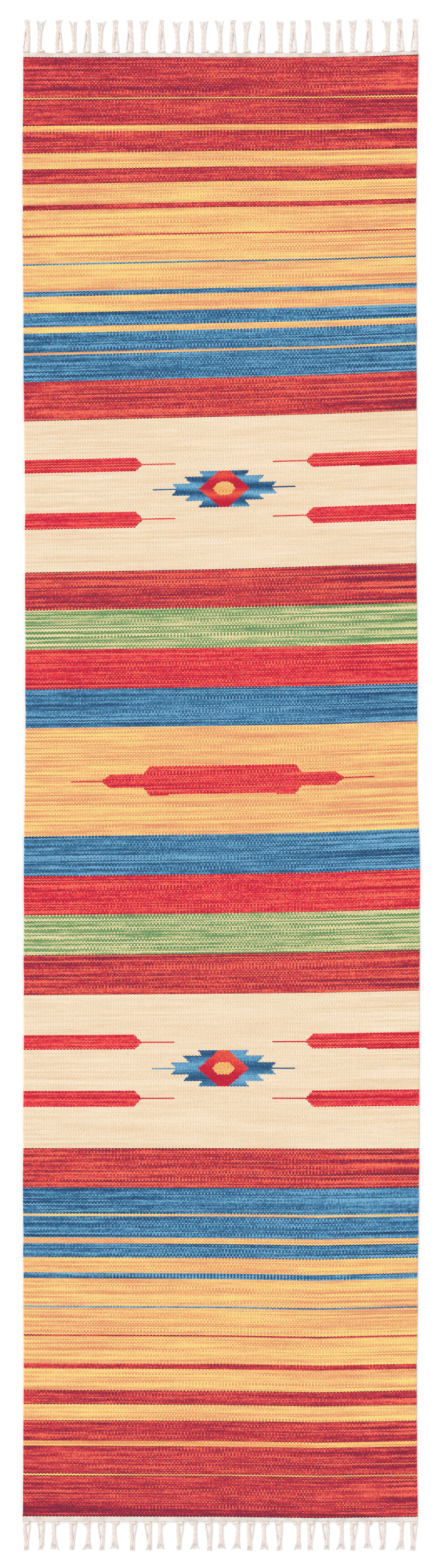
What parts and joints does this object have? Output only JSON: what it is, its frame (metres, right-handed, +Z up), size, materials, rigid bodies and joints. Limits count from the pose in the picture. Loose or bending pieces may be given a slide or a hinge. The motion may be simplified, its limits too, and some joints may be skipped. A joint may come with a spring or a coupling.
{
  "type": "runner rug",
  "caption": "Flat-woven cotton runner rug with striped ends, two medallion fields, a centre bar and knotted tassel fringes.",
  "frame": {"origin": "middle of the underside, fringes included", "axes": "+X across the rug, +Y along it towards its north end, +Z up out of its face"},
  "size_m": [0.6598, 2.545, 0.005],
  "materials": {
    "ivory_cotton": "undyed plied cotton, matt",
    "dark_red_weft": "dark red space-dyed cotton weft, matt",
    "bright_red_weft": "bright red cotton weft, matt",
    "strie_red_weft": "red cotton weft with maroon and orange-red streaks, matt",
    "gold_weft": "gold cotton weft, matt",
    "orange_weft": "light orange cotton weft with yellow streaks, matt",
    "blue_weft": "blue cotton weft with light and dark streaks, matt",
    "cream_weft": "cream cotton weft, matt",
    "green_weft": "leaf green cotton weft with paler streaks, matt"
  },
  "bodies": {
    "south_end": {"fold_1_blue_band_south": "blue_weft", "south_orange_pinstripe": "orange_weft", "south_blue_stripes": "blue_weft", "south_orange_stripes": "orange_weft", "south_narrow_blue_stripe": "blue_weft", "south_thin_orange_stripes": "orange_weft", "south_blue_pinstripe": "blue_weft", "south_red_pinstripe": "dark_red_weft", "south_wide_orange_stripes": "orange_weft", "south_dark_red_stripes": "dark_red_weft", "south_gold_stripes": "gold_weft", "south_header_band": "ivory_cotton", "south_end_warps": "ivory_cotton"},
    "south_field": {"fold_2_bright_red_band_south": "bright_red_weft", "south_green_band": "green_weft", "south_inner_red_band": "strie_red_weft", "south_cream_field": "cream_weft", "south_medallion_wings": "blue_weft", "south_medallion_diamond": "bright_red_weft", "south_medallion_eye": "orange_weft", "south_side_bars": "bright_red_weft", "south_outer_red_band": "strie_red_weft", "fold_1_blue_band_north": "blue_weft", "south_field_warps": "ivory_cotton"},
    "centre": {"fold_3_red_band_south": "strie_red_weft", "north_green_band": "green_weft", "north_bright_red_band": "bright_red_weft", "north_blue_band": "blue_weft", "centre_orange_field": "orange_weft", "centre_red_bar": "bright_red_weft", "south_blue_band": "blue_weft", "fold_2_bright_red_band_north": "bright_red_weft", "centre_warps": "ivory_cotton"},
    "north_field": {"fold_4_orange_band_south": "orange_weft", "north_blue_stripes": "blue_weft", "north_orange_stripe": "orange_weft", "north_orange_pinstripe": "orange_weft", "north_wide_blue_stripe": "blue_weft", "north_outer_red_band": "strie_red_weft", "north_cream_field": "cream_weft", "north_medallion_wings": "blue_weft", "north_medallion_diamond": "bright_red_weft", "north_medallion_eye": "orange_weft", "north_side_bars": "bright_red_weft", "fold_3_red_band_north": "strie_red_weft", "north_field_warps": "ivory_cotton"},
    "north_end": {"north_header_band": "ivory_cotton", "north_dark_red_stripes": "dark_red_weft", "north_gold_stripes": "gold_weft", "north_wide_orange_stripes": "orange_weft", "north_thin_orange_stripes": "orange_weft", "north_red_pinstripe": "dark_red_weft", "north_blue_pinstripe": "blue_weft", "north_narrow_blue_stripe": "blue_weft", "fold_4_orange_band_north": "orange_weft", "north_end_warps": "ivory_cotton"},
    "north_fringe": {"north_tassel_knots": "ivory_cotton", "north_tassel_cords": "ivory_cotton"},
    "south_fringe": {"south_tassel_knots": "ivory_cotton", "south_tassel_cords": "ivory_cotton"}
  },
  "joints": [
    {"name": "fold_1", "type": "hinge", "parent": "south_end", "child": "south_field", "pos_m": [0, -0.684, 0.013], "axis": [1, 0, 0], "range_deg": [0, 180]},
    {"name": "fold_2", "type": "hinge", "parent": "south_field", "child": "centre", "pos_m": [0, -0.168, 0.0105], "axis": [1, 0, 0], "range_deg": [0, 180]},
    {"name": "fold_3", "type": "hinge", "parent": "centre", "child": "north_field", "pos_m": [0, 0.328, 0.008], "axis": [1, 0, 0], "range_deg": [0, 180]},
    {"name": "fold_4", "type": "hinge", "parent": "north_field", "child": "north_end", "pos_m": [0, 0.8045, 0.005], "axis": [1, 0, 0], "range_deg": [0, 180]},
    {"name": "north_fringe_lift", "type": "hinge", "parent": "north_end", "child": "north_fringe", "pos_m": [0, 1.2165, 0.0052], "axis": [-1, 0, 0], "range_deg": [-170, 0]},
    {"name": "south_fringe_lift", "type": "hinge", "parent": "south_end", "child": "south_fringe", "pos_m": [0, -1.2225, 0.0052], "axis": [1, 0, 0], "range_deg": [-170, 0]}
  ]
}
